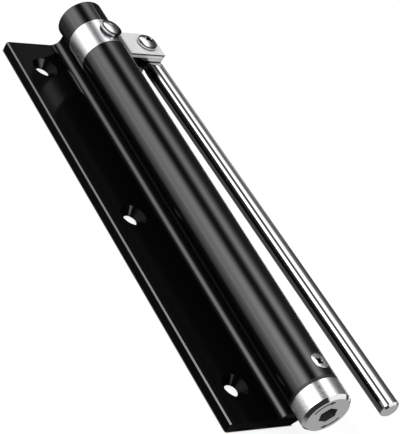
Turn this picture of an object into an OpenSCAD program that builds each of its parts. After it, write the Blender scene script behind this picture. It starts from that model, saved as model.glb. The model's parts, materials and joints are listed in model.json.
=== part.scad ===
// Surface-mounted spring door closer with a folding rod.
// The leaf screws to the frame, the spring in the tube turns the arm, and the rod slides on the door.
// X runs across the leaf towards the rod, Y along the tube towards the arm, Z out of the mounting face.
// The origin is on the axis of the middle screw hole, in the mounting face.

/* [Extrusion] */
// Outer diameter of the tube
tube_d = 20; // [18:0.5:24]
// Bore of the tube
bore_d = 16; // [14.5:0.1:16.6]
// Length of the extrusion
body_len = 204; // [190:1:260]
// Height of the tube's axis above the mounting face
tube_h = 18.7; // [17:0.1:24]
// Distance from the tube's axis to the outer edge of the leaf
leaf_w = 30.3; // [28:0.1:40]
// Thickness of the leaf
leaf_t = 4.4; // [3.5:0.1:6]
// Width of the neck between leaf and tube
neck_w = 9.8; // [8:0.1:13]
// Radius of the fillet between leaf and neck
fillet_r = 4; // [2:0.1:4.5]
// Chamfer on the back corner under the neck
back_chamfer = 4.1; // [0:0.1:4.5]
// Broken edges along the leaf
edge_break = 0.5; // [0.2:0.1:1]

/* [Screw holes] */
// Distance from the tube's axis to the row of holes
hole_line = 18.3; // [16:0.1:22]
// Distance between neighbouring holes
hole_pitch = 86.2; // [70:0.1:90]
// Distance from the arm end of the extrusion to the nearest hole
hole_margin = 14.8; // [10:0.1:25]
// Diameter of the screw holes at the back
hole_d = 5.8; // [4:0.1:6.2]
// Outer diameter of the countersinks for the screw heads
sink_d = 11.2; // [9:0.1:11.4]
// Straight part of each hole at the back
hole_land = 0.6; // [0.4:0.1:0.7]
// Depth of the shallow channel along the back, behind the row of holes
channel_depth = 1; // [0.6:0.1:1.2]
// Width of that channel
channel_w = 14; // [12:0.5:16]

/* [Window and strap] */
// Distance from the arm end of the extrusion to the middle of the window
window_margin = 17.6; // [17:0.1:30]
// Width of the window along the tube
window_w = 13.8; // [10:0.1:16]
// Gap between the strap and each side of the window
strap_side_gap = 0.2; // [0.15:0.05:0.5]
// Gap between the strap and the bottom of the window
floor_gap = 0.3; // [0.2:0.05:0.6]
// Thickness of the strap
strap_t = 2.1; // [1.5:0.1:2.3]
// Distance from the tube's axis to the outer edge of the ears
ear_reach = 29.7; // [27:0.1:34]
// Distance from the tube's axis to the rod's pivot
pivot_reach = 23.1; // [22:0.1:24]
// Clear gap between the two ears
ear_gap = 4.2; // [4.1:0.1:5]
// Outside radius of the bend between strap and ear
bend_r = 5; // [3:0.1:6]
// Direction of the domed screw, up from the plane of the ears
dome_angle = 84; // [70:1:100]
// Diameter of the domed head
dome_d = 9.2; // [7:0.1:9.5]
// Height of the domed head above the strap
dome_h = 2.9; // [2:0.1:3.5]
// Height of the straight rim under the dome
dome_rim = 1.6; // [0.8:0.1:1.8]
// Diameter of the domed screw's shank
dome_shank_d = 4; // [3:0.1:5]

/* [Rod] */
// Diameter of the rod
rod_d = 8; // [7:0.1:8.5]
// Length of the rod from its pivot to its free end
rod_len = 198; // [150:1:230]
// Angle by which the folded rod leans away from the tube
rod_lean = 2.3; // [0:0.1:4]
// Chamfer at the free end
rod_chamfer = 0.8; // [0.3:0.1:1.5]
// Thickness of the flattened end
spade_t = 4; // [3:0.1:4.1]
// Width of the flattened end
spade_w = 12.6; // [10:0.1:13]
// Length of the shoulders that narrow the flat end to the rod
spade_shoulder = 3; // [2:0.1:3.5]
// Length from the pivot over which the end stays fully flat
spade_flat = 9.8; // [9.5:0.1:12]
// Length over which the flat runs out into the round rod
spade_taper = 4; // [3:0.1:6]

/* [Pivot screw] */
// Diameter of the pivot screw
pivot_d = 5; // [4:0.1:6]
// Diameter of its pan head
pan_d = 8.8; // [8:0.1:10]
// Height of its pan head
pan_h = 3; // [2.5:0.1:4]
// Height of the straight rim under its crown
pan_rim = 1.4; // [0.6:0.1:1.8]
// Length of the screw's end below the nut
screw_tail = 0.8; // [0.3:0.1:2]
// Chamfer at the screw's end
screw_chamfer = 0.5; // [0.2:0.1:0.8]
// Width across the flats of the nut
nut_af = 8; // [7:0.1:9]
// Reach of the nut's faces beyond its flats, inside the chamfered corners
nut_corner = 0; // [0:0.05:0.4]
// Thickness of the nut
nut_h = 4; // [3:0.1:5]
// Thickness of the spring washer
washer_t = 1.2; // [0.8:0.1:1.5]
// Width of the spring washer's slanted slit
washer_slit = 0.8; // [0.4:0.1:1.2]
// Outer diameter of the spring washer
washer_d = 8.8; // [8:0.1:10]

/* [Tension adjuster] */
// Length of the chrome cap outside the tube
cap_len = 9.1; // [7:0.1:12]
// Chamfer of the cap across its face
cap_chamfer = 1.1; // [0.5:0.1:1.5]
// Length of the cap's chamfer along the tube
cap_chamfer_len = 1.4; // [0.5:0.1:2]
// Width across the flats of the hexagon socket
socket_af = 7; // [6:0.5:8]
// Depth of the socket
socket_depth = 6; // [5:0.1:7]
// Turn of the socket's first corner, up from the plane of the ears
socket_turn = 47; // [0:1:59]
// Radius of the curved arrows on the cap's face
arrow_r = 7.1; // [6.4:0.1:7.4]
// Width of the arrows' line
arrow_w = 0.5; // [0.3:0.05:0.8]
// Depth of the engraved arrows
arrow_depth = 0.25; // [0.1:0.05:0.4]
// Thickness of the black flange between tube and cap
bush_flange = 1.2; // [0.8:0.1:2]
// Gap between that flange and the cap
cap_gap = 0.2; // [0.15:0.05:0.4]
// Distance from the end of the extrusion to the lock screw
lock_margin = 6.7; // [6:0.1:9]
// Direction of the lock screw, up from the plane of the ears
lock_angle = 84; // [70:1:100]
// Width across the cross recess of the pivot and lock screws
recess_w = 4.6; // [3.5:0.1:5]
// Width of the recess's slots
recess_slot = 1.1; // [0.8:0.05:1.4]
// Depth of the recess
recess_depth = 2.2; // [1.5:0.1:2.6]
// Diameter of the lock screw's head
lock_head_d = 7.4; // [6:0.1:8]
// Diameter of the lock screw's shank
lock_shank_d = 4; // [3:0.1:4.4]
// Depth of the lock screw's head below the crown of the tube
lock_sink = 0.5; // [0.3:0.1:0.8]
// Depth of the groove in which the lock screw's tip bites
groove_depth = 1.1; // [0.8:0.1:1.5]

/* [Spindle and bushes] */
// Diameter of the journals of spindle and adjuster
journal_d = 12; // [10:0.1:12.4]
// Radial running clearance of the journals and the rod's pivot
run_gap = 0.05; // [0.02:0.01:0.09]
// Radial clearance between the spindle's hub and the bore it is fitted through
hub_gap = 0.05; // [0.02:0.01:0.2]
// Length of the lower bush
lower_bush_len = 7; // [5:0.1:10]
// Length of the upper bush
upper_bush_len = 6; // [5:0.1:6.5]
// Length of the adjuster's bush in the tube
adjuster_bush_len = 15; // [13:0.1:20]
// Diameter of the stubs that carry the spring carriers
stub_d = 7; // [6:0.1:7.5]
// Thickness of the end plug's flange
plug_flange = 0.8; // [0.5:0.1:1.5]
// Chamfer round the plug's flange
plug_edge = 0.3; // [0.1:0.05:0.4]
// Thickness of the plug's outer wall, with its flange
plug_floor = 1.2; // [0.9:0.1:2]
// Clearance round the stop tongue in the plug
pocket_gap = 0.3; // [0.2:0.05:0.6]
// Free turn between the spindle's stop tongue and the plug's stop
swing = 130; // [90:5:150]
// Width of the stop tongue as an angle
tongue_angle = 100; // [60:5:120]
// Angle left free at each end of the stop
stop_slack = 2; // [1:0.5:4]
// End float of the turning pieces
end_float = 0.25; // [0.15:0.05:0.4]

/* [Spring] */
// Diameter of the spring wire
wire_d = 2.8; // [2:0.1:2.9]
// Mean diameter of the coil
coil_d = 12; // [11.5:0.1:12.4]
// Least free gap wanted between neighbouring turns
turn_gap = 0.6; // [0.5:0.05:1.5]
// Radius of the bend from coil to tang
tang_bend = 3; // [2.5:0.1:4]
// Straight length of each tang
tang_len = 4; // [3:0.1:5]
// Clearance round each tang in its notch
tang_gap = 0.15; // [0.1:0.05:0.4]
// Length of each carrier
carrier_len = 9; // [8:0.1:12]
// Clearance between the carriers and the bore
carrier_gap = 0.3; // [0.2:0.05:0.6]
// Depth of the stubs in their carriers
stub_len = 7; // [6:0.1:7.5]
// Diameter of the cross pins
pin_d = 2.5; // [2:0.1:3]
// Outer diameter of the guide tube inside the spring
guide_d = 8; // [7.4:0.1:8.2]
// Bore of the guide tube
guide_bore = 6.1; // [5:0.1:6.4]
// Length of the spigots that hold the guide tube
spigot_len = 8; // [5:0.1:12]

/* [Hidden] */
$fn = 96;

black = "#1b1c1e";
chrome = "#c9cbce";
steel = "#8f9296";
brass = "#b9975a";
nylon = "#2a2b2d";

// Places along the tube
arm_end = hole_pitch + hole_margin;
far_end = arm_end - body_len;
window_y = arm_end - window_margin;
window_top = window_y + window_w / 2;
window_bottom = window_y - window_w / 2;
strap_w = window_w - 2 * strap_side_gap;
hub_r = bore_d / 2 - hub_gap;
strap_r = hub_r + strap_t;
journal_r = journal_d / 2;
journal_top = window_top + upper_bush_len;
journal_bottom = window_bottom - lower_bush_len;
plug_inner = journal_top + end_float;
pocket_end = arm_end + plug_flange - plug_floor;
tongue_end = pocket_end - end_float;
bush_r = bore_d / 2;
bush_bore_r = journal_r + run_gap;
lock_y = far_end + lock_margin;
bush_inner = far_end + adjuster_bush_len;
cap_inner = far_end - bush_flange - cap_gap;
cap_outer = cap_inner - cap_len;

// Places round the tube's axis
pivot_recess_turn = 20;
window_floor = tube_h - strap_r - floor_gap;
dome_tip = 4;
ear_in = ear_gap / 2;
ear_out = ear_in + strap_t;
socket_r = socket_af / sqrt(3);
lock_head_r = tube_d / 2 - lock_sink;
lock_cone = (lock_head_d - lock_shank_d) / 2;
lock_rim = 0.3;
groove_r = journal_r - groove_depth;
groove_w = lock_shank_d + 0.8;
tip_gap = 0.3;

// Places of the spring and its carriers
upper_face = journal_bottom - end_float;
upper_seat = upper_face - carrier_len;
lower_face = bush_inner + end_float;
lower_seat = lower_face + carrier_len;
carrier_r = bore_d / 2 - carrier_gap;
coil_r = coil_d / 2;
wire_r = wire_d / 2;
seat_gap = 0.3;
coil_low = lower_seat + seat_gap + wire_r;
coil_high = upper_seat - seat_gap - wire_r;
turns = floor((coil_high - coil_low) / (wire_d + turn_gap));
pitch = (coil_high - coil_low) / turns;
lead = atan(pitch / (2 * PI * coil_r));
bend_rise = tang_bend * cos(lead);
bend_turn = tang_bend * (1 - sin(lead)) / coil_r * 180 / PI;
low_tang_at = -bend_turn;
high_tang_at = 360 * turns + bend_turn;
notch_w = wire_d + 2 * tang_gap;
notch_depth = tang_len + bend_rise - seat_gap - wire_r + 0.5;
mouth_r = tang_bend - wire_r - tang_gap;
mouth_depth = bend_rise - seat_gap - wire_r;
mouth_w = mouth_r - sqrt(max(0, mouth_r * mouth_r - mouth_depth * mouth_depth)) + tang_gap;
pin_len = 2 * carrier_r - 1;
guide_len = upper_seat - lower_seat - 2 * end_float;

// Puts a shape drawn along Z on the tube's axis, its zero at y
module on_axis(y) {
    translate([hole_line, y, tube_h]) rotate([-90, 0, 0]) children();
}

// Puts a shape drawn along Z on a radius of the tube at y, pointing out at an angle from the ears
module on_radius(y, angle) {
    translate([hole_line, y, tube_h]) rotate([0, 90 - angle, 0]) children();
}

// Puts a shape drawn along Z on the rod's pivot, its zero at the height of the tube's axis
module on_pivot() {
    translate([hole_line + pivot_reach, window_y, tube_h]) children();
}

// Outline of the extrusion across the tube, with the mounting face at zero height
module extrusion_outline() {
    neck = neck_w / 2;
    difference() {
        union() {
            translate([0, tube_h]) circle(d = tube_d);
            polygon([
                [-leaf_w + edge_break, 0], [neck - back_chamfer, 0], [neck, back_chamfer], [neck, tube_h],
                [-neck, tube_h], [-neck, leaf_t], [-leaf_w + edge_break, leaf_t],
                [-leaf_w, leaf_t - edge_break], [-leaf_w, edge_break]
            ]);
            translate([-neck - fillet_r, leaf_t / 2]) square([fillet_r + 1, fillet_r + leaf_t / 2]);
        }
        translate([-hole_line - channel_w / 2, -1]) square([channel_w, channel_depth + 1]);
        translate([0, tube_h]) circle(d = bore_d);
        translate([-neck - fillet_r, leaf_t + fillet_r]) circle(r = fillet_r);
    }
}

// One screw hole, opened up to the channel behind it and sunk for a countersunk head
module screw_hole() {
    cone_low = channel_depth + hole_land;
    cone_h = (sink_d - hole_d) / 2;
    translate([0, 0, -1]) cylinder(h = leaf_t + 2, d = hole_d);
    translate([0, 0, cone_low]) cylinder(h = cone_h, d1 = hole_d, d2 = sink_d);
    translate([0, 0, cone_low + cone_h]) cylinder(h = leaf_t, d = sink_d);
}

// Shape of the lock screw, used for the screw and for the holes that it fills
module lock_screw_form(top) {
    neck_h = lock_head_r - lock_rim;
    tip = groove_r + tip_gap;
    on_radius(lock_y, lock_angle) {
        translate([0, 0, neck_h]) cylinder(h = lock_rim + top, d = lock_head_d);
        translate([0, 0, neck_h - lock_cone]) cylinder(h = lock_cone, d1 = lock_shank_d, d2 = lock_head_d);
        translate([0, 0, tip]) cylinder(h = neck_h - tip, d = lock_shank_d);
    }
}

module housing() {
    color(black) difference() {
        translate([hole_line, arm_end, 0]) rotate([90, 0, 0])
            linear_extrude(height = body_len) extrusion_outline();
        for (i = [-1 : 1]) translate([0, i * hole_pitch, 0]) screw_hole();
        translate([hole_line - tube_d, window_bottom, window_floor])
            cube([2 * tube_d, window_w, 2 * tube_d]);
        lock_screw_form(tube_d);
    }
}

// Sector of a disc, centred on the angle mid, measured from the ears as seen along +Y
module sector(r, h, mid, width) {
    reach = 2 * r;
    linear_extrude(height = h) intersection() {
        circle(r = r);
        polygon([
            [0, 0],
            for (k = [0 : 4]) reach * [cos(-mid + width * (k / 4 - 0.5)), sin(-mid + width * (k / 4 - 0.5))]
        ]);
    }
}

module end_plug() {
    stop_mid = 180 + swing / 2;
    stop_width = 360 - swing - tongue_angle - 2 * stop_slack;
    color(black) difference() {
        union() {
            on_axis(arm_end) cylinder(h = plug_flange - plug_edge, d = tube_d);
            on_axis(arm_end + plug_flange - plug_edge)
                cylinder(h = plug_edge, d1 = tube_d, d2 = tube_d - 2 * plug_edge);
            on_axis(plug_inner) cylinder(h = arm_end - plug_inner, r = bush_r);
        }
        on_axis(plug_inner - 1) difference() {
            cylinder(h = pocket_end - plug_inner + 1, r = journal_r + pocket_gap);
            sector(2 * journal_r, pocket_end - plug_inner + 2, stop_mid, stop_width);
        }
    }
}

// Plain bush between the tube's bore and a journal
module bush(y, length) {
    on_axis(y) difference() {
        cylinder(h = length, r = bush_r);
        translate([0, 0, -1]) cylinder(h = length + 2, r = bush_bore_r);
    }
}

module upper_bush() {
    color(nylon) bush(window_top, upper_bush_len);
}

module lower_bush() {
    color(nylon) bush(journal_bottom, lower_bush_len);
}

module spindle() {
    hub_low = window_y - strap_w / 2;
    color(steel) difference() {
        union() {
            on_axis(journal_top) sector(journal_r, tongue_end - journal_top, 0, tongue_angle);
            on_axis(upper_face) cylinder(h = journal_top - upper_face, r = journal_r);
            on_axis(hub_low) cylinder(h = strap_w, r = hub_r);
            on_axis(upper_face - stub_len) cylinder(h = stub_len + 1, d = stub_d);
        }
        on_radius(window_y, dome_angle) translate([0, 0, dome_tip - 1]) cylinder(h = hub_r, d = dome_shank_d);
        upper_cross_pin(pin_len + 2);
    }
}

// Strap of a given width: round the hub, then a bend and an ear on each side of the mouth
module strap(width) {
    bend_z = ear_out + bend_r;
    bend_x = sqrt(pow(strap_r + bend_r, 2) - pow(bend_z, 2));
    difference() {
        union() {
            cylinder(h = width, r = strap_r);
            linear_extrude(height = width) polygon([[0, 0], [bend_x, bend_z], [bend_x, -bend_z]]);
            translate([0, -ear_out, 0]) cube([ear_reach, 2 * ear_out, width]);
        }
        translate([0, 0, -1]) cylinder(h = width + 2, r = hub_r);
        translate([0, -ear_in, -1]) cube([ear_reach + 1, ear_gap, width + 2]);
        for (s = [0, 1]) mirror([0, s, 0]) translate([0, 0, -1]) {
            translate([bend_x, bend_z, 0]) cylinder(h = width + 2, r = bend_r);
            difference() {
                linear_extrude(height = width + 2) polygon([[0, 0], [bend_x, bend_z], [bend_x, 0]]);
                translate([bend_x, bend_z, -1]) cylinder(h = width + 4, r = bend_r + strap_t);
            }
        }
    }
}

module arm_bracket() {
    corner_r = strap_w / 2;
    color(chrome) difference() {
        on_axis(window_y - strap_w / 2) strap(strap_w);
        translate([hole_line + ear_reach - corner_r, window_y, tube_h - ear_out - 1]) difference() {
            cube([2 * corner_r, 2 * corner_r, 2 * ear_out + 2]);
            translate([0, 0, -1]) cylinder(h = 2 * ear_out + 4, r = corner_r);
        }
        on_pivot() translate([0, 0, -ear_out - 1]) cylinder(h = 2 * ear_out + 2, d = pivot_d);
        on_radius(window_y, dome_angle) cylinder(h = tube_d, d = dome_shank_d);
    }
}

module bracket_screw() {
    seat_low = sqrt(pow(strap_r, 2) - pow(dome_d / 2, 2)) - 0.2;
    crown_h = dome_h - dome_rim;
    dome_r = (pow(dome_d / 2, 2) + pow(crown_h, 2)) / (2 * crown_h);
    color(chrome) {
        difference() {
            on_radius(window_y, dome_angle) rotate_extrude() intersection() {
                translate([0, strap_r + dome_h - dome_r]) circle(r = dome_r);
                translate([0, seat_low]) square([dome_d / 2, strap_r + dome_h - seat_low + 1]);
            }
            on_axis(window_y - strap_w) cylinder(h = 2 * strap_w, r = strap_r);
        }
        on_radius(window_y, dome_angle) translate([0, 0, dome_tip])
            cylinder(h = strap_r - dome_tip + dome_rim / 2, d = dome_shank_d);
    }
}

// Round bar with a flat forged end, drawn along -Y from its pivot
module rod_form() {
    shoulder_start = spade_flat - spade_shoulder;
    round_start = spade_flat - 0.1 * spade_shoulder;
    waist = 0.85 * sqrt(pow(rod_d / 2, 2) - pow(spade_t / 2, 2));
    ramp_end = spade_flat + spade_taper * (2 * rod_d - spade_t) / (rod_d - spade_t);
    difference() {
        union() {
            translate([0, -round_start, 0]) rotate([90, 0, 0])
                cylinder(h = rod_len - round_start - rod_chamfer, d = rod_d);
            translate([0, -rod_len + rod_chamfer, 0]) rotate([90, 0, 0])
                cylinder(h = rod_chamfer, d1 = rod_d, d2 = rod_d - 2 * rod_chamfer);
            translate([0, 0, -rod_d / 2]) cylinder(h = rod_d, d = spade_w);
            translate([0, 0, -rod_d / 2]) linear_extrude(height = rod_d) polygon([
                [-spade_w / 2, 0], [-spade_w / 2, -shoulder_start], [-waist, -spade_flat],
                [waist, -spade_flat], [spade_w / 2, -shoulder_start], [spade_w / 2, 0]
            ]);
        }
        for (s = [0, 1]) mirror([0, 0, s]) rotate([90, 0, 90])
            translate([0, 0, -spade_w]) linear_extrude(height = 2 * spade_w) polygon([
                [spade_w, spade_t / 2], [spade_w, rod_d], [-ramp_end, rod_d], [-spade_flat, spade_t / 2]
            ]);
        translate([0, 0, -rod_d]) cylinder(h = 2 * rod_d, r = pivot_d / 2 + run_gap);
    }
}

module rod() {
    color(chrome) on_pivot() rotate([0, 0, rod_lean]) rod_form();
}

// Cross recess, its mouth at zero height and its bottom below
module cross_recess() {
    foot = recess_slot * 0.7;
    for (turn = [0, 90]) rotate([0, 0, turn]) rotate([90, 0, 0])
        translate([0, 0, -recess_slot / 2]) linear_extrude(height = recess_slot)
            polygon([[-recess_w / 2, 1], [recess_w / 2, 1], [foot, -recess_depth], [-foot, -recess_depth]]);
    translate([0, 0, -recess_depth]) cylinder(h = recess_depth + 0.2, r1 = foot, r2 = recess_w / 3.4);
}

module pivot_screw() {
    crown_h = pan_h - pan_rim;
    crown_r = (pow(pan_d / 2, 2) + pow(crown_h, 2)) / (2 * crown_h);
    tail = ear_out + washer_t + nut_h + screw_tail;
    color(chrome) on_pivot() difference() {
        union() {
            translate([0, 0, ear_out]) cylinder(h = pan_rim, d = pan_d);
            translate([0, 0, ear_out + pan_h - crown_r]) rotate_extrude() intersection() {
                circle(r = crown_r);
                translate([0, crown_r - crown_h]) square([pan_d, crown_h + 1]);
            }
            translate([0, 0, screw_chamfer - tail]) cylinder(h = tail - screw_chamfer + ear_out, d = pivot_d);
            translate([0, 0, -tail])
                cylinder(h = screw_chamfer, d1 = pivot_d - 2 * screw_chamfer, d2 = pivot_d);
        }
        translate([0, 0, ear_out + pan_h]) rotate([0, 0, pivot_recess_turn]) cross_recess();
    }
}

module pivot_washer() {
    color(steel) on_pivot() translate([0, 0, -ear_out - washer_t]) difference() {
        cylinder(h = washer_t, d = washer_d);
        translate([0, 0, -1]) cylinder(h = washer_t + 2, d = pivot_d);
        rotate([0, 0, -40]) translate([washer_d / 2, 0, washer_t / 2]) rotate([35, 0, 0])
            cube([washer_d, washer_slit, 4 * washer_t], center = true);
    }
}

module pivot_nut() {
    rim_r = nut_af / 2 + nut_corner;
    color(steel) on_pivot() translate([0, 0, -ear_out - washer_t - nut_h]) difference() {
        intersection() {
            cylinder(h = nut_h, d = nut_af * 2 / sqrt(3), $fn = 6);
            cylinder(h = nut_h, r1 = rim_r, r2 = rim_r + 2 * nut_h);
            cylinder(h = nut_h, r1 = rim_r + 2 * nut_h, r2 = rim_r);
        }
        translate([0, 0, -1]) cylinder(h = nut_h + 2, d = pivot_d);
    }
}

// Pin across the tube's axis at y, square to the notch that lies at the angle given
module cross_pin(y, angle, length) {
    on_radius(y, angle + 90) translate([0, 0, -length / 2]) cylinder(h = length, d = pin_d);
}

module upper_cross_pin(length) {
    cross_pin(upper_face - carrier_len / 2, high_tang_at, length);
}

module lower_cross_pin(length) {
    cross_pin(lower_face + carrier_len / 2, low_tang_at, length);
}

// Disc with a blind bore for a stub, a notch for the spring's tang and a spigot for the guide tube.
// It is drawn from its stub side at zero towards the spring, with the notch along X and
// the notch's mouth cut wider on the side from which the wire bends into it.
module carrier_form(spigot_d) {
    notch_x = coil_r - wire_r - tang_gap;
    difference() {
        union() {
            cylinder(h = carrier_len, r = carrier_r);
            cylinder(h = carrier_len + spigot_len, d = spigot_d);
        }
        translate([0, 0, -1]) cylinder(h = stub_len + 1, d = stub_d);
        translate([notch_x, -notch_w / 2, carrier_len - notch_depth])
            cube([coil_r, notch_w, notch_depth + 1]);
        translate([notch_x, -notch_w / 2 - mouth_w, carrier_len - mouth_depth])
            cube([coil_r, notch_w, mouth_depth + 1]);
    }
}

module upper_spring_carrier() {
    color(brass) difference() {
        on_axis(upper_face) mirror([0, 0, 1]) rotate([0, 0, -high_tang_at]) mirror([0, 1, 0])
            carrier_form(guide_bore - 2 * run_gap);
        upper_cross_pin(pin_len + 2);
    }
}

module upper_carrier_pin() {
    color(steel) upper_cross_pin(pin_len);
}

module lower_spring_carrier() {
    color(brass) difference() {
        on_axis(lower_face) rotate([0, 0, -low_tang_at]) carrier_form(guide_bore);
        lower_cross_pin(pin_len + 2);
    }
}

module lower_carrier_pin() {
    color(steel) lower_cross_pin(pin_len);
}

module spring_guide() {
    color(nylon) on_axis(lower_seat) difference() {
        cylinder(h = guide_len + end_float, d = guide_d);
        translate([0, 0, -1]) cylinder(h = guide_len + 2, d = guide_bore);
    }
}

// Stations along the wire: angle round the coil, height and slope of the wire
coil_steps = 8 * turns;
low_tang = [
    [low_tang_at, coil_low - bend_rise - tang_len, 90],
    for (slope = [90, 60, 30]) [
        -tang_bend * (sin(slope) - sin(lead)) / coil_r * 180 / PI,
        coil_low - tang_bend * (cos(lead) - cos(slope)), slope
    ]
];
coil = [for (i = [0 : coil_steps]) [i * 45, coil_low + pitch * i / 8, lead]];
high_tang = [
    for (slope = [30, 60, 90]) [
        360 * turns + tang_bend * (sin(slope) - sin(lead)) / coil_r * 180 / PI,
        coil_high + tang_bend * (cos(lead) - cos(slope)), slope
    ],
    [high_tang_at, coil_high + bend_rise + tang_len, 90]
];
stations = concat(low_tang, coil, high_tang);
sides = 6;

// Point k of the wire's section at a station, in the tube's own frame with the height along Y
function wire_point(s, k) =
    let (
        out = [cos(s[0]), 0, sin(s[0])],
        around = [-sin(s[0]), 0, cos(s[0])],
        up = [0, 1, 0],
        a = 360 * k / sides
    )
    out * (coil_r + wire_r * cos(a)) + up * s[1]
    + wire_r * sin(a) * (up * cos(s[2]) - around * sin(s[2]));

module torsion_spring() {
    n = len(stations);
    points = [for (s = stations) for (k = [0 : sides - 1]) wire_point(s, k)];
    walls = [
        for (i = [0 : n - 2]) for (k = [0 : sides - 1])
            let (a = i * sides + k, b = i * sides + (k + 1) % sides)
            each [[a, a + sides, b], [b, a + sides, b + sides]]
    ];
    ends = [
        for (k = [1 : sides - 2]) each [
            [0, k, k + 1], [(n - 1) * sides, (n - 1) * sides + k + 1, (n - 1) * sides + k]
        ]
    ];
    color(steel) translate([hole_line, 0, tube_h]) polyhedron(points = points, faces = concat(walls, ends));
}

// Two curved arrows on the cap's face, each from its tail round to its point
module arrows(depth) {
    for (span = [[171, 109], [-18, -70]]) {
        mid = (span[0] + span[1]) / 2;
        intersection() {
            sector(tube_d, depth, mid, span[0] - span[1]);
            difference() {
                cylinder(h = depth, r = arrow_r + arrow_w / 2);
                translate([0, 0, -1]) cylinder(h = depth + 2, r = arrow_r - arrow_w / 2);
            }
        }
        rotate([0, 0, -span[1]]) translate([arrow_r, 0, 0]) linear_extrude(height = depth)
            polygon([[-2 * arrow_w, -arrow_w], [2 * arrow_w, -arrow_w], [0, 3.5 * arrow_w]]);
    }
}

module tension_adjuster() {
    shank = lower_face - cap_inner;
    color(chrome) difference() {
        union() {
            on_axis(cap_outer + cap_chamfer_len) cylinder(h = cap_len - cap_chamfer_len, d = tube_d);
            on_axis(cap_outer) cylinder(h = cap_chamfer_len, d1 = tube_d - 2 * cap_chamfer, d2 = tube_d);
            on_axis(cap_inner) cylinder(h = shank, d = journal_d);
            on_axis(lower_face - 1) cylinder(h = stub_len + 1, d = stub_d);
        }
        on_axis(cap_outer - 1) rotate([0, 0, -socket_turn])
            cylinder(h = socket_depth + 1, r = socket_r, $fn = 6);
        on_axis(cap_outer - 1) arrows(arrow_depth + 1);
        on_axis(lock_y - groove_w / 2) difference() {
            cylinder(h = groove_w, r = journal_d);
            translate([0, 0, -1]) cylinder(h = groove_w + 2, r = groove_r);
        }
        lower_cross_pin(pin_len + 2);
    }
}

module adjuster_bush() {
    color(nylon) difference() {
        union() {
            on_axis(far_end) cylinder(h = adjuster_bush_len, r = bush_r);
            on_axis(far_end - bush_flange) cylinder(h = bush_flange, d = tube_d);
        }
        on_axis(far_end - bush_flange - 1) cylinder(h = bush_flange + adjuster_bush_len + 2, r = bush_bore_r);
        lock_screw_form(0);
    }
}

module lock_screw() {
    color(chrome) difference() {
        lock_screw_form(0);
        on_radius(lock_y, lock_angle) translate([0, 0, lock_head_r]) rotate([0, 0, 45]) cross_recess();
    }
}

// Least clear gap of the spring to itself, measured between neighbouring turns
function closest(i) = min([for (j = [i + 5 : i + 11]) if (j <= coil_steps)
    norm([coil_r * (cos(coil[i][0]) - cos(coil[j][0])), coil[i][1] - coil[j][1],
          coil_r * (sin(coil[i][0]) - sin(coil[j][0]))])]);
echo(spring_least_gap = min([for (i = [0 : coil_steps - 5]) closest(i)]) - wire_d);

housing();
end_plug();
upper_bush();
lower_bush();
spindle();
arm_bracket();
bracket_screw();
rod();
pivot_screw();
pivot_washer();
pivot_nut();
upper_spring_carrier();
upper_carrier_pin();
torsion_spring();
spring_guide();
lower_spring_carrier();
lower_carrier_pin();
tension_adjuster();
adjuster_bush();
lock_screw();
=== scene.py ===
import json
import math

import bpy
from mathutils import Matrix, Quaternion, Vector


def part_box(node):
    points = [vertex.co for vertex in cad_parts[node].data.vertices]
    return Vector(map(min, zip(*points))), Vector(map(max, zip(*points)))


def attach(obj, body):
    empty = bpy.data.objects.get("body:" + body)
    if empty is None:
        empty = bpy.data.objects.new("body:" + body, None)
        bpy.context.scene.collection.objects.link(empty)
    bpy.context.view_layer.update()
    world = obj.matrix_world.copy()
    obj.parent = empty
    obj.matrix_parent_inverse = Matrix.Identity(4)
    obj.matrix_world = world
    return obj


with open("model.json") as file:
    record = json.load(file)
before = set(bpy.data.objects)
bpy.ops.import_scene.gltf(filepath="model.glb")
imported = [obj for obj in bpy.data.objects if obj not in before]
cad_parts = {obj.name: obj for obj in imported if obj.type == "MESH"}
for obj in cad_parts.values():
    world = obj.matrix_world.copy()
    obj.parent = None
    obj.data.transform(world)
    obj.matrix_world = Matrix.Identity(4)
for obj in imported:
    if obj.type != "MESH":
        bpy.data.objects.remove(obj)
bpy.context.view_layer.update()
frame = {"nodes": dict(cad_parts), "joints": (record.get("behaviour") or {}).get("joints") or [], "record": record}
nodes = frame["nodes"]
scene = bpy.context.scene

MM = 0.001
TO_X = (1, 0, 0)
TO_Y = (0, 1, 0)
TO_Z = (0, 0, 1)

# Camera, solved from the photograph: its place, the point it looks at and its roll
CAMERA_PLACE = Vector((-402.7, -370.3, 381.6)) * MM
CAMERA_AIM = Vector((16.4, -15.1, 18.7)) * MM
CAMERA_ROLL = math.radians(32.94)
CAMERA_LENS = 141.9
SENSOR_WIDTH = 36
CLIP_START = 0.01

# Axes of the moving pieces, taken from the frame
joint_at = {joint["name"]: Vector(joint["pos_m"]) for joint in frame["joints"]}
TUBE_AXIS = joint_at["arm_swing"]
PIVOT = joint_at["rod_fold"]
CAP_FACE = joint_at["tension_adjust"]

# Noise of the surfaces: its scale along X, Y and Z, and the part of its range that is used
DRAWN = (2600, 30, 2600)
TURNED = (500, 9000, 500)
EVEN = (1400, 1400, 1400)
BROAD = (60, 25, 60)
NOISE_DETAIL = 3
NOISE_ROUGHNESS = 0.55
NOISE_SPAN = (0.3, 0.7)
RELIEF_DEPTH = 0.02 * MM


def span(low, high):
    """Two places given in mm, in metres."""
    return (low * MM, high * MM)


def add(tree, kind, **settings):
    """A new node with its properties set."""
    node = tree.nodes.new(kind)
    for key, value in settings.items():
        setattr(node, key, value)
    return node


def put(node, **values):
    """Sets input sockets, their names written with underscores for spaces."""
    for key, value in values.items():
        node.inputs[key.replace("_", " ")].default_value = value


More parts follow.
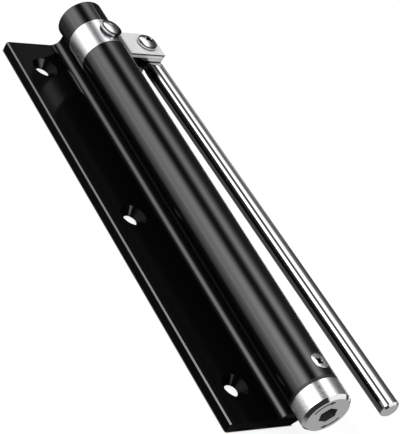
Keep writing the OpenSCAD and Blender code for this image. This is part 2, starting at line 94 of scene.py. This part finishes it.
def calculate(tree, operation, first, second=0):
    """The result of a Math node on a socket and, where it takes two, a second socket or number."""
    node = add(tree, "ShaderNodeMath", operation=operation)
    tree.links.new(first, node.inputs[0])
    if isinstance(second, bpy.types.NodeSocket):
        tree.links.new(second, node.inputs[1])
    else:
        node.inputs[1].default_value = second
    return node.outputs[0]


def product_of(tree, *masks):
    """The product of two or more masks."""
    product = masks[0]
    for mask in masks[1:]:
        product = calculate(tree, "MULTIPLY", product, mask)
    return product


def ranged(tree, value, low, high, ends):
    """A value taken from one range, whose two ends are given, to the range from low to high."""
    node = add(tree, "ShaderNodeMapRange")
    put(node, From_Min=ends[0], From_Max=ends[1], To_Min=low, To_Max=high)
    tree.links.new(value, node.inputs["Value"])
    return node.outputs["Result"]


def rising(tree, value, ends):
    """0 before the first end and 1 after the second."""
    return ranged(tree, value, 0, 1, ends)


def falling(tree, value, ends):
    """1 before the first end and 0 after the second."""
    return ranged(tree, value, 1, 0, ends)


def between(tree, value, ends, soft):
    """1 between the two ends, falling to 0 within a soft edge outside each."""
    low, high = ends
    start = rising(tree, value, (low - soft, low))
    return product_of(tree, start, falling(tree, value, (high, high + soft)))


def split_on(tree, vector, axis):
    """The X, Y or Z of a vector."""
    split = add(tree, "ShaderNodeSeparateXYZ")
    tree.links.new(vector, split.inputs[0])
    return split.outputs[axis]


def place_on(tree, axis):
    """The X, Y or Z of a place, in metres of the model's own frame."""
    return split_on(tree, add(tree, "ShaderNodeTexCoord").outputs["Object"], axis)


def share_of(tree, vector, direction):
    """How much of a vector lies along a direction."""
    share = add(tree, "ShaderNodeVectorMath", operation="DOT_PRODUCT")
    tree.links.new(vector, share.inputs[0])
    share.inputs[1].default_value = direction
    return share.outputs["Value"]


def facing(tree, direction):
    """How far a surface faces along a direction, from -1 to 1."""
    return share_of(tree, add(tree, "ShaderNodeTexCoord").outputs["Normal"], direction)


def away_from(tree, point):
    """The vector from a point to a place, in metres of the model's own frame."""
    away = add(tree, "ShaderNodeVectorMath", operation="SUBTRACT")
    tree.links.new(add(tree, "ShaderNodeTexCoord").outputs["Object"], away.inputs[0])
    away.inputs[1].default_value = point
    return away.outputs["Vector"]


def reach_along(tree, point, direction):
    """How far a place lies from a point along a direction."""
    return share_of(tree, away_from(tree, point), direction)


def distance_from(tree, point, direction):
    """A place's distance from the line through a point."""
    across = add(tree, "ShaderNodeVectorMath", operation="CROSS_PRODUCT")
    tree.links.new(away_from(tree, point), across.inputs[0])
    across.inputs[1].default_value = direction
    length = add(tree, "ShaderNodeVectorMath", operation="LENGTH")
    tree.links.new(across.outputs["Vector"], length.inputs[0])
    return length.outputs["Value"]


def angle_round(tree, point):
    """The angle round a line along Y through a point, from +X towards +Z, in radians."""
    away = away_from(tree, point)
    return calculate(tree, "ARCTAN2", split_on(tree, away, "Z"), split_on(tree, away, "X"))


def sag_of(tree, wide, radius):
    """How far a dome of this radius has fallen at a distance from its middle."""
    return calculate(tree, "DIVIDE", product_of(tree, wide, wide), 2 * radius)


def noise_of(tree, grain):
    """Noise in the model's own frame, stretched along its axes."""
    mapping = add(tree, "ShaderNodeMapping")
    put(mapping, Scale=grain)
    tree.links.new(add(tree, "ShaderNodeTexCoord").outputs["Object"], mapping.inputs["Vector"])
    noise = add(tree, "ShaderNodeTexNoise")
    put(noise, Scale=1, Detail=NOISE_DETAIL, Roughness=NOISE_ROUGHNESS)
    tree.links.new(mapping.outputs["Vector"], noise.inputs["Vector"])
    return noise.outputs["Fac"]


def add_bump(tree, shader, height, strength, distance):
    """Gives a shader the relief of a height."""
    node = add(tree, "ShaderNodeBump")
    put(node, Strength=strength, Distance=distance)
    tree.links.new(height, node.inputs["Height"])
    tree.links.new(node.outputs["Normal"], shader.inputs["Normal"])


def new_material(name):
    """A material and its node tree, emptied."""
    material = bpy.data.materials.new(name)
    material.use_nodes = True
    material.node_tree.nodes.clear()
    return material, material.node_tree


def finish_material(tree, shader_output):
    """Links a shader to the material's output."""
    out = add(tree, "ShaderNodeOutputMaterial")
    tree.links.new(shader_output, out.inputs["Surface"])


def surface(name, color, rough, relief=None, metallic=0.0, ior=1.5, grain=EVEN, tint=0.12):
    """A surface whose roughness and relief vary with its grain, and its colour more broadly."""
    material, tree = new_material(name)
    shader = add(tree, "ShaderNodeBsdfPrincipled")
    put(shader, Metallic=metallic, IOR=ior)
    fine = noise_of(tree, grain)
    tree.links.new(ranged(tree, fine, rough[0], rough[1], NOISE_SPAN), shader.inputs["Roughness"])
    mix = add(tree, "ShaderNodeMix", data_type="RGBA")
    mix.inputs["A"].default_value = (*[c * (1 - tint) for c in color], 1)
    mix.inputs["B"].default_value = (*color, 1)
    tree.links.new(noise_of(tree, BROAD), mix.inputs["Factor"])
    tree.links.new(mix.outputs["Result"], shader.inputs["Base Color"])
    if relief:
        add_bump(tree, shader, fine, relief, RELIEF_DEPTH)
    finish_material(tree, shader.outputs["BSDF"])
    return material


def blend_in(tree, mask, **values):
    """Where the mask is 1 the surface takes these values, and where it is 0 it keeps its own."""
    shader = tree.nodes["Principled BSDF"]
    for key, value in values.items():
        socket = shader.inputs[key.replace("_", " ")]
        mix = add(tree, "ShaderNodeMix", data_type="RGBA" if socket.type == "RGBA" else "FLOAT")
        if socket.is_linked:
            tree.links.new(socket.links[0].from_socket, mix.inputs["A"])
        else:
            mix.inputs["A"].default_value = socket.default_value
        mix.inputs["B"].default_value = value
        tree.links.new(mask, mix.inputs["Factor"])
        tree.links.new(mix.outputs["Result"], socket)


# Surfaces of the record's slots
BRIGHT = (0.83, 0.835, 0.85)
POLISHED = (0.86, 0.865, 0.88)
anodised = surface("black_anodised", (0.0015, 0.0015, 0.0016), (0.12, 0.17), relief=0.05, ior=1.68,
                   grain=DRAWN)
slot_looks = {
    "black_anodised": anodised,
    "black_plastic": surface("black_plastic", (0.007, 0.007, 0.008), (0.3, 0.42), relief=0.1),
    "nylon": surface("nylon", (0.03, 0.03, 0.033), (0.4, 0.55), relief=0.1),
    "turned_steel": surface("turned_steel", (0.5, 0.5, 0.52), (0.22, 0.36), relief=0.1, metallic=1,
                            grain=TURNED),
    "zinc_steel": surface("zinc_steel", (0.62, 0.63, 0.66), (0.2, 0.34), relief=0.08, metallic=1),
    "spring_steel": surface("spring_steel", (0.2, 0.2, 0.21), (0.3, 0.45), relief=0.1, metallic=1),
    "brass": surface("brass", (0.7, 0.5, 0.2), (0.2, 0.34), relief=0.1, metallic=1, grain=TURNED),
}

# Surfaces of the chrome nodes, one for each, because their polish differs
node_looks = {
    "rod": surface("polished_chrome", POLISHED, (0.06, 0.1), relief=0.02, metallic=1, tint=0.03),
    "arm_bracket": surface("pressed_chrome", BRIGHT, (0.26, 0.29), relief=0.003, metallic=0.95, tint=0.04),
    "bracket_screw": surface("dome_chrome", POLISHED, (0.06, 0.1), relief=0.02, metallic=1, tint=0.03),
    "pivot_screw": surface("pan_chrome", POLISHED, (0.1, 0.16), relief=0.04, metallic=1, tint=0.06),
    "tension_adjuster": surface("turned_chrome", BRIGHT, (0.22, 0.3), relief=0.05, metallic=0.95,
                                grain=TURNED, tint=0.04),
    "lock_screw": surface("plated_screw", (0.8, 0.8, 0.81), (0.2, 0.28), metallic=0.85, tint=0.06),
}

# The spans below say where a look begins and ends, or where it fades into the next: places in the frame,
# distances or slopes. They are fitted to the light and dark zones of the photographed part.

# Leaf: its drawn face, its sides and its screw holes are duller than the tube. The corner under the tube is
# made duller as painted shade, the break along its outer edge carries a painted highlight and the holes'
# far walls a painted glint
LEAF_TOP = span(4.45, 5.05)
FACE_SLOPE = (0.97, 0.99)
SIDE_SLOPE = (0.2, 0.3)
EDGE_SLOPE = (0.5, 0.9)
EDGE_SOFT = 0.05
OUTER_EDGE = span(-11.4, -11.1)
SINK_START = span(-11, -10)
FAR_WALL_SLOPE = (-0.68, -0.6)
CORNER = span(6.9, 15)
CORNER_SOFT = 0.8 * MM


def dress_leaf(tree):
    slope = facing(tree, TO_Z)
    in_leaf = falling(tree, place_on(tree, "Z"), LEAF_TOP)
    sink = product_of(tree, in_leaf, rising(tree, place_on(tree, "X"), SINK_START))
    outer = falling(tree, place_on(tree, "X"), OUTER_EDGE)
    blend_in(tree, sink, Specular_IOR_Level=0.04)
    # Painted glint: the holes' far walls reflect more
    far_wall_glint = falling(tree, facing(tree, TO_Y), FAR_WALL_SLOPE)
    blend_in(tree, product_of(tree, sink, far_wall_glint), Specular_IOR_Level=0.4)
    # Painted highlight: the break along the outer edge reflects more
    edge = between(tree, slope, EDGE_SLOPE, EDGE_SOFT)
    blend_in(tree, product_of(tree, in_leaf, edge, outer), Specular_IOR_Level=0.8)
    blend_in(tree, product_of(tree, in_leaf, falling(tree, slope, SIDE_SLOPE)), Specular_IOR_Level=0.03)
    blend_in(tree, product_of(tree, in_leaf, rising(tree, slope, FACE_SLOPE)), Specular_IOR_Level=0.03)
    # Painted shade: the corner under the tube reflects less and is rougher
    corner = between(tree, place_on(tree, "Z"), CORNER, CORNER_SOFT)
    blend_in(tree, corner, Specular_IOR_Level=0.03, Roughness=0.35)


dress_leaf(anodised.node_tree)

# Arm: the strap round the tube has painted shade on its far side. Its ears have the satin of the pressed
# sheet, with a painted highlight on the cut edge and a painted shadow line along the top of it.
FAR_SIDE_SLOPE = (0, 0.3)
EAR_START = span(29.5, 31)
EAR_TOP = 22.9
CUT_SLOPE = (-0.95, -0.8)
TOP_SHADOW_LINE = span(EAR_TOP - 0.9, EAR_TOP - 0.6)


def dress_arm(tree):
    painted_far_side = rising(tree, facing(tree, TO_X), FAR_SIDE_SLOPE)
    ears = rising(tree, place_on(tree, "X"), EAR_START)
    cut_edge_highlight = product_of(tree, ears, falling(tree, facing(tree, TO_Y), CUT_SLOPE))
    top_shadow_line = product_of(tree, cut_edge_highlight, rising(tree, place_on(tree, "Z"), TOP_SHADOW_LINE))
    # Painted shade on the strap's far side
    blend_in(tree, painted_far_side, Base_Color=(0.32, 0.32, 0.33, 1))
    blend_in(tree, ears, Metallic=0.35, Roughness=0.4, Base_Color=(0.66, 0.66, 0.665, 1))
    # Painted highlight: the cut edge is white and matte
    blend_in(tree, cut_edge_highlight, Metallic=0.1, Roughness=0.5, Base_Color=(0.95, 0.95, 0.95, 1))
    # Painted shadow line along the top of the cut edge
    blend_in(tree, top_shadow_line, Base_Color=(0.05, 0.05, 0.055, 1))


dress_arm(node_looks["arm_bracket"].node_tree)

# Adjuster: what is cut into the cap's face is painted dark as shade, its hex socket a paler painted shade,
# the bevel is polished and the cap's left side is made less metallic, as painted light. Depths are measured
# from the cap's face.
CAP_DEPTH = span(8, 9)
CAP_EDGE = span(8.7, 8.9)
CUT_DEPTH = span(0.05, 0.2)
SOCKET_EDGE = span(4.2, 4.4)
LEFT_SLOPE = (-0.97, -0.75)
BEVEL_SLOPE = (-0.85, -0.45)
BEVEL_SOFT = 0.05
ARROW_DEPTH = span(-0.1, 0.3)
ARROW_DEPTH_SOFT = 0.05 * MM
ARROW_RING = span(6.75, 7.45)
ARROW_RING_SOFT = 0.1 * MM
ARROW_SPANS = [(109, 171), (-70, -18)]
ARROW_SPAN_SOFT = 0.02


def dress_cap(tree):
    depth = calculate(tree, "SUBTRACT", place_on(tree, "Y"), CAP_FACE.y)
    wide = distance_from(tree, CAP_FACE, TO_Y)
    in_cap = falling(tree, depth, CAP_DEPTH)
    cut_in = product_of(tree, in_cap, rising(tree, depth, CUT_DEPTH))
    # Painted shade in what is cut into the face
    cut_in_shade = product_of(tree, cut_in, falling(tree, wide, CAP_EDGE))
    blend_in(tree, cut_in_shade, Base_Color=(0.1, 0.1, 0.105, 1), Roughness=0.4)
    # Paler painted shade in the hex socket
    socket = product_of(tree, cut_in, falling(tree, wide, SOCKET_EDGE))
    blend_in(tree, socket, Base_Color=(0.2, 0.2, 0.21, 1), Metallic=0.6, Roughness=0.3)
    # Painted light: the left side is less metallic, so that it reads lighter
    left_sheen = product_of(tree, in_cap, falling(tree, facing(tree, TO_X), LEFT_SLOPE))
    blend_in(tree, left_sheen, Metallic=0.72)
    bevel = product_of(tree, in_cap, between(tree, facing(tree, TO_Y), BEVEL_SLOPE, BEVEL_SOFT))
    blend_in(tree, bevel, Roughness=0.1, Metallic=1.0)
    ring = product_of(tree, between(tree, wide, ARROW_RING, ARROW_RING_SOFT),
                      between(tree, depth, ARROW_DEPTH, ARROW_DEPTH_SOFT))
    turn = angle_round(tree, CAP_FACE)
    for start, end in ARROW_SPANS:
        arc = between(tree, turn, (math.radians(start), math.radians(end)), ARROW_SPAN_SOFT)
        blend_in(tree, product_of(tree, ring, arc), Base_Color=(0.03, 0.03, 0.033, 1))


dress_cap(node_looks["tension_adjuster"].node_tree)

# Domed screw: painted shade lines above and below a painted highlight band on its wall, and a painted dark
# reflection on the side of its dome that faces the rod. Heights are measured from the tube's axis.
DOME_TURN = math.radians(84)
DOME_UP = (math.cos(DOME_TURN), 0, math.sin(DOME_TURN))
DOME_RIM = span(4.1, 4.4)
DOME_HIGHLIGHT = span(10.5, 11.2)
HIGHLIGHT_SOFT = 0.15 * MM
DARK_REFLECTION_SIDE = (0.88, -0.48, 0)
DARK_REFLECTION_SLOPE = (0.28, 0.4)


def dress_dome(tree):
    shade_rim = rising(tree, distance_from(tree, TUBE_AXIS, DOME_UP), DOME_RIM)
    height = reach_along(tree, TUBE_AXIS, DOME_UP)
    band = product_of(tree, shade_rim, between(tree, height, DOME_HIGHLIGHT, HIGHLIGHT_SOFT))
    dark_reflection = rising(tree, facing(tree, DARK_REFLECTION_SIDE), DARK_REFLECTION_SLOPE)
    # Painted shade on the wall, above and below the band
    blend_in(tree, shade_rim, Base_Color=(0.05, 0.05, 0.055, 1))
    # Painted highlight band on the wall
    blend_in(tree, band, Base_Color=(0.7, 0.7, 0.71, 1), Metallic=0.6, Roughness=0.25)
    # Painted dark reflection on the side that faces the rod
    blend_in(tree, dark_reflection, Base_Color=(0.02, 0.02, 0.022, 1), Metallic=0.9)


dress_dome(node_looks["bracket_screw"].node_tree)

# Pivot screw: the same painted shade lines and painted highlight band on its wall, and painted shade in
# the cross recess under its dome
PAN_RIM = span(3.9, 4.2)
PAN_HIGHLIGHT = span(EAR_TOP + 0.5, EAR_TOP + 1.1)
PAN_CURVE = 6.85 * MM
CROSS_REACH = span(2.6, 2.8)
CROSS_TOP = span(EAR_TOP + 2.75, EAR_TOP + 2.9)


def dress_pan(tree):
    height = place_on(tree, "Z")
    wide = distance_from(tree, PIVOT, TO_Z)
    shade_rim = rising(tree, wide, PAN_RIM)
    band = product_of(tree, shade_rim, between(tree, height, PAN_HIGHLIGHT, HIGHLIGHT_SOFT))
    flattened = calculate(tree, "ADD", height, sag_of(tree, wide, PAN_CURVE))
    recess_shade = product_of(tree, falling(tree, wide, CROSS_REACH), falling(tree, flattened, CROSS_TOP))
    # Painted shade on the wall
    blend_in(tree, shade_rim, Base_Color=(0.05, 0.05, 0.055, 1))
    # Painted highlight band on the wall
    blend_in(tree, band, Base_Color=(0.6, 0.6, 0.61, 1), Metallic=0.6, Roughness=0.25)
    # Painted shade in the cross recess
    blend_in(tree, recess_shade, Base_Color=(0.04, 0.04, 0.044, 1))


dress_pan(node_looks["pivot_screw"].node_tree)

# Lock screw: its recess is painted dark as shade, and a bump makes its flat head slightly domed
LOCK_CROSS_DEPTH = span(0.3, 0.15)
LOCK_CURVE = 6 * MM


def dress_lock_screw(tree):
    low, high = (Vector(corner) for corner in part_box("lock_screw"))
    middle = (low + high) / 2
    outward = Vector((middle.x - TUBE_AXIS.x, 0, middle.z - TUBE_AXIS.z)).normalized()
    head_top = max((corner.co - TUBE_AXIS).dot(outward) for corner in nodes["lock_screw"].data.vertices)
    cross_top = [head_top - depth for depth in LOCK_CROSS_DEPTH]
    recess_shade = falling(tree, reach_along(tree, TUBE_AXIS, outward), cross_top)
    # Painted shade in the recess
    blend_in(tree, recess_shade, Base_Color=(0.03, 0.03, 0.033, 1))
    dome = sag_of(tree, distance_from(tree, middle, outward), -LOCK_CURVE)
    add_bump(tree, tree.nodes["Principled BSDF"], dome, strength=1, distance=1)


dress_lock_screw(node_looks["lock_screw"].node_tree)

# Rod: the shoulder of its flat head has painted shade on the tube's side, and its far side is made less
# metallic towards that head, as painted light
SHOULDER_X = span(39, 40)
SHOULDER_Y = span(62, 66)
SHEEN_SLOPE = (0, 0.25)
SHEEN_Y = span(-45, 5)


def dress_rod(tree):
    along = place_on(tree, "Y")
    near_tube = falling(tree, place_on(tree, "X"), SHOULDER_X)
    shoulder_shade = product_of(tree, near_tube, rising(tree, along, SHOULDER_Y))
    painted_far_side = rising(tree, facing(tree, TO_X), SHEEN_SLOPE)
    far_sheen = product_of(tree, painted_far_side, rising(tree, along, SHEEN_Y))
    # Painted shade on the shoulder, on the tube's side
    blend_in(tree, shoulder_shade, Base_Color=(0.05, 0.05, 0.055, 1))
    # Painted light: the far side is less metallic towards the head, so that it reads lighter
    blend_in(tree, far_sheen, Metallic=0.7, Roughness=0.22)


dress_rod(node_looks["rod"].node_tree)

for part in frame["record"]["subparts"]:
    look = node_looks.get(part["node"], slot_looks.get(part["material_slot"]))
    slots = nodes[part["node"]].data.materials
    slots.clear()
    slots.append(look)


# Back of the leaf: a strip that fills its shallow channel flush, open round the screw holes
LEAF_ENDS = span(-103, 101)
CHANNEL_WIDTH = 14 * MM
CHANNEL_DEPTH = 1 * MM
HOLE_PITCH = 86.2 * MM
HOLE_CLEAR = 4.2 * MM
CIRCLE_STEPS = 48


def loop_spline(curve, points):
    """Adds a closed outline to a flat curve. An outline inside another is an opening."""
    spline = curve.splines.new("POLY")
    spline.points.add(len(points) - 1)
    for point, (x, y) in zip(spline.points, points):
        point.co = (x, y, 0, 1)
    spline.use_cyclic_u = True


def circle_at(y, radius):
    """The points of a circle on the line of the screw holes."""
    turns = [math.tau * step / CIRCLE_STEPS for step in range(CIRCLE_STEPS)]
    return [(radius * math.cos(turn), y + radius * math.sin(turn)) for turn in turns]


curve = bpy.data.curves.new("leaf_back_strip", "CURVE")
curve.dimensions = "2D"
curve.fill_mode = "BOTH"
curve.extrude = CHANNEL_DEPTH / 2
half = CHANNEL_WIDTH / 2
near, far = LEAF_ENDS
loop_spline(curve, [(-half, near), (half, near), (half, far), (-half, far)])
for row in (-1, 0, 1):
    loop_spline(curve, circle_at(row * HOLE_PITCH, HOLE_CLEAR))
strip = bpy.data.objects.new("leaf_back_strip", curve)
scene.collection.objects.link(strip)
strip.location = (0, 0, CHANNEL_DEPTH / 2)
curve.materials.append(anodised)
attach(strip, "housing")


# Camera
camera_data = bpy.data.cameras.new("camera")
camera_data.lens = CAMERA_LENS
camera_data.sensor_width = SENSOR_WIDTH
camera_data.clip_start = CLIP_START
camera = bpy.data.objects.new("camera", camera_data)
scene.collection.objects.link(camera)
camera.location = CAMERA_PLACE
camera.rotation_mode = "QUATERNION"
aim = (CAMERA_AIM - CAMERA_PLACE).to_track_quat("-Z", "Y")
camera.rotation_quaternion = aim @ Quaternion(TO_Z, CAMERA_ROLL)
scene.camera = camera
scene.view_settings.view_transform = "Standard"


def seen_directly(tree):
    """1 for the rays that look at the background: camera, glossy and transmission rays."""
    path = add(tree, "ShaderNodeLightPath")
    seen = calculate(tree, "MAXIMUM", path.outputs["Is Camera Ray"], path.outputs["Is Glossy Ray"])
    return calculate(tree, "MAXIMUM", seen, path.outputs["Is Transmission Ray"])


# World: white where the camera, metal and glass look at it, and a soft fill elsewhere
WORLD_FILL = 0.7
WORLD_WHITE = 1
world = bpy.data.worlds.new("world")
scene.world = world
world.use_nodes = True
world.node_tree.nodes.clear()
sky = add(world.node_tree, "ShaderNodeBackground")
sky.inputs["Color"].default_value = (1, 1, 1, 1)
strength = ranged(world.node_tree, seen_directly(world.node_tree), WORLD_FILL, WORLD_WHITE, (0, 1))
world.node_tree.links.new(strength, sky.inputs["Strength"])
world_output = add(world.node_tree, "ShaderNodeOutputWorld")
world.node_tree.links.new(sky.outputs["Background"], world_output.inputs["Surface"])


def plane(name, corners):
    """A flat piece of the stage with these corners."""
    mesh = bpy.data.meshes.new(name)
    mesh.from_pydata(corners, [], [tuple(range(len(corners)))])
    thing = bpy.data.objects.new(name, mesh)
    scene.collection.objects.link(thing)
    return thing


# Floor: nearly white to the camera, with the part's faint soft shadow and a narrow dark contact shadow
# round the leaf's foot. The contact shadow's distances are from a line a little inside the foot.
FLOOR_CORNERS = [(-3, -3), (3, -3), (3, 3), (-3, 3)]
FLOOR_LEVEL = -0.05 * MM
FLOOR_GLOW = 0.86
FLOOR_ALBEDO = 0.14
CONTACT_ALBEDO = 0.02
FOOT_HEIGHT = 0.5 * MM
FOOT_INSET = 0.75 * MM
CONTACT_SHADOW = span(0.85, 1.25)
UNDER_LEAF = span(0, 0.02)


def outside(tree, axis, low, high):
    """How far a place lies outside a span of one axis, or 0 within it."""
    middle = (low + high) / 2
    off_middle = calculate(tree, "ABSOLUTE", calculate(tree, "SUBTRACT", place_on(tree, axis), middle))
    return calculate(tree, "MAXIMUM", calculate(tree, "SUBTRACT", off_middle, high - middle), 0)


def open_floor(tree):
    """0 in the contact shadow, and 1 on the rest of the floor and under the leaf."""
    foot_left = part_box("housing")[0][0]
    foot_right = max(corner.co.x for corner in nodes["housing"].data.vertices if corner.co.z < FOOT_HEIGHT)
    gap_x = outside(tree, "X", foot_left + FOOT_INSET, foot_right)
    gap_y = outside(tree, "Y", LEAF_ENDS[0] + FOOT_INSET, LEAF_ENDS[1] - FOOT_INSET)
    squares = calculate(tree, "ADD", product_of(tree, gap_x, gap_x), product_of(tree, gap_y, gap_y))
    gap = calculate(tree, "SQRT", squares)
    return calculate(tree, "MAXIMUM", rising(tree, gap, CONTACT_SHADOW), falling(tree, gap, UNDER_LEAF))


def dress_floor(tree):
    is_open = open_floor(tree)
    glow = add(tree, "ShaderNodeEmission")
    lit = calculate(tree, "MULTIPLY", seen_directly(tree), FLOOR_GLOW)
    tree.links.new(product_of(tree, lit, is_open), glow.inputs["Strength"])
    shade = add(tree, "ShaderNodeMix", data_type="RGBA")
    shade.inputs["A"].default_value = (CONTACT_ALBEDO, CONTACT_ALBEDO, CONTACT_ALBEDO, 1)
    shade.inputs["B"].default_value = (FLOOR_ALBEDO, FLOOR_ALBEDO, FLOOR_ALBEDO, 1)
    tree.links.new(is_open, shade.inputs["Factor"])
    matte = add(tree, "ShaderNodeBsdfDiffuse")
    tree.links.new(shade.outputs["Result"], matte.inputs["Color"])
    both = add(tree, "ShaderNodeAddShader")
    tree.links.new(glow.outputs[0], both.inputs[0])
    tree.links.new(matte.outputs[0], both.inputs[1])
    finish_material(tree, both.outputs[0])


floor = plane("floor", [(x, y, FLOOR_LEVEL) for x, y in FLOOR_CORNERS])
floor_material, floor_tree = new_material("floor")
dress_floor(floor_tree)
floor.data.materials.append(floor_material)


# Studio that only reflections show: cards over the part, on the floor and as walls, in mm.
# A card's brightness is the product of two lists of (place, brightness) stops, across the part and
# along it. In front of the cap the cards are lit from the rod's side.
CEILING_HEIGHT = 127
STUDIO_EDGE = 600
STUDIO_END = 800
FRONT_CEILING_END = -125
FRONT_FLOOR_END = -112
CARD_LIFT = 0.3
WINDOW_X = (112, 152)
WINDOW_Y = (204, 260)
WINDOW_HEIGHT = 126
WHOLE_WIDTH = (-STUDIO_EDGE, STUDIO_EDGE)
CEILING_ACROSS = [
    (-600, 1.95), (-525, 2.10), (-290, 2.40), (-190, 2.62), (-131, 2.55), (-97, 1.88), (-72, 0.90),
    (-50, 0.15), (-34, 0.03), (-10, 0.03), (1, 0.32), (16, 1.2), (30, 2.03), (46, 1.80), (62, 1.08),
    (81, 0.55), (103, 0.2), (130, 0.11), (170, 0.07), (600, 0.06),
]
CEILING_ALONG = [(-600, 1.3), (-20, 1.25), (60, 1.0), (150, 0.85), (800, 0.8)]
FLOOR_ACROSS = [
    (-600, 1.42), (-245, 1.32), (-84, 1.02), (-45, 0.70), (-27, 0.45), (-12, 0.22), (10, 0.06),
    (42, 0.06), (52, 0.12), (60, 0.14), (80, 0.06), (120, 0.05), (600, 0.05),
]
FRONT_ACROSS = [(-600, 0.03), (-5, 0.03), (12, 0.42), (100, 0.42), (600, 0.3)]
FRONT_CEILING = [(-600, 0.03), (4, 0.03), (16, 1.0), (600, 1.0)]
WINDOW_GLOW = [(112, 0.8), (152, 0.8)]
EVEN_ALONG = [(-600, 1.0), (800, 1.0)]


def reflected_only(thing):
    """Keeps a card of the studio out of every ray but the reflected ones."""
    thing.visible_camera = False
    thing.visible_diffuse = False
    thing.visible_shadow = False
    thing.visible_transmission = False
    thing.visible_volume_scatter = False


def brightness_along(tree, place, stops):
    """The brightness of the stops at a coordinate, made by a colour ramp."""
    low = stops[0][0] * MM
    high = stops[-1][0] * MM
    peak = max(bright for at, bright in stops)
    ramp = add(tree, "ShaderNodeValToRGB")
    band = ramp.color_ramp.elements
    while len(band) < len(stops):
        band.new(0.5)
    # Places first, so that each colour goes to its element in the final order
    for element, (at, bright) in zip(band, stops):
        element.position = (at * MM - low) / (high - low)
    for element, (at, bright) in zip(band, stops):
        element.color = (bright / peak, bright / peak, bright / peak, 1)
    tree.links.new(rising(tree, place, (low, high)), ramp.inputs["Fac"])
    return calculate(tree, "MULTIPLY", ramp.outputs["Color"], peak)


def card(name, corners, across, along):
    """A glowing card, its brightness a product of stops across the part and along it."""
    thing = plane(name, [Vector(corner) * MM for corner in corners])
    material, tree = new_material(name)
    place = add(tree, "ShaderNodeNewGeometry").outputs["Position"]
    bright_across = brightness_along(tree, split_on(tree, place, "X"), across)
    bright_along = brightness_along(tree, split_on(tree, place, "Y"), along)
    glow = add(tree, "ShaderNodeEmission")
    tree.links.new(product_of(tree, bright_across, bright_along), glow.inputs["Strength"])
    finish_material(tree, glow.outputs[0])
    thing.data.materials.append(material)
    reflected_only(thing)


def flat_card(name, x, y, z, across, along=EVEN_ALONG):
    """A level card between two places of X and of Y."""
    card(name, [(x[0], y[0], z), (x[1], y[0], z), (x[1], y[1], z), (x[0], y[1], z)], across, along)


def wall_card(name, start, end, across):
    """An upright card from the floor to the ceiling, between two places of the plan."""
    corners = [(*start, 0), (*end, 0), (*end, CEILING_HEIGHT), (*start, CEILING_HEIGHT)]
    card(name, corners, across, EVEN_ALONG)


flat_card("ceiling_card", WHOLE_WIDTH, (FRONT_CEILING_END, STUDIO_END), CEILING_HEIGHT, CEILING_ACROSS,
          CEILING_ALONG)
flat_card("front_ceiling_card", WHOLE_WIDTH, (-STUDIO_EDGE, FRONT_CEILING_END), CEILING_HEIGHT,
          FRONT_CEILING)
wall_card("front_wall_card", (-STUDIO_EDGE, -STUDIO_EDGE), (STUDIO_EDGE, -STUDIO_EDGE), FRONT_CEILING)
flat_card("floor_card", WHOLE_WIDTH, (FRONT_FLOOR_END, STUDIO_END), CARD_LIFT, FLOOR_ACROSS)
flat_card("front_card", WHOLE_WIDTH, (-STUDIO_EDGE, FRONT_FLOOR_END), CARD_LIFT, FRONT_ACROSS)
flat_card("window_card", WINDOW_X, WINDOW_Y, WINDOW_HEIGHT, WINDOW_GLOW)
wall_card("left_card", (-STUDIO_EDGE, -STUDIO_EDGE), (-STUDIO_EDGE, STUDIO_END), CEILING_ACROSS)
wall_card("right_card", (STUDIO_EDGE, -STUDIO_EDGE), (STUDIO_EDGE, STUDIO_END), CEILING_ACROSS)
wall_card("back_card", (-STUDIO_EDGE, STUDIO_END), (STUDIO_EDGE, STUDIO_END), CEILING_ACROSS)


def soft_box(name, place, size, power):
    """A large soft lamp that points at the part and that reflections don't show."""
    data = bpy.data.lights.new(name, "AREA")
    data.shape = "RECTANGLE"
    data.size = size[0]
    data.size_y = size[1]
    data.energy = power
    lamp = bpy.data.objects.new(name, data)
    scene.collection.objects.link(lamp)
    lamp.location = place
    lamp.rotation_mode = "QUATERNION"
    lamp.rotation_quaternion = (CAMERA_AIM - Vector(place)).to_track_quat("-Z", "Y")
    lamp.visible_glossy = False


# Lamps: soft boxes from the left and above
soft_box("left_box", place=(-0.8, 0.2, 0.6), size=(0.8, 1.2), power=6)
soft_box("top_box", place=(0.15, 0.3, 1.0), size=(0.9, 0.9), power=8)
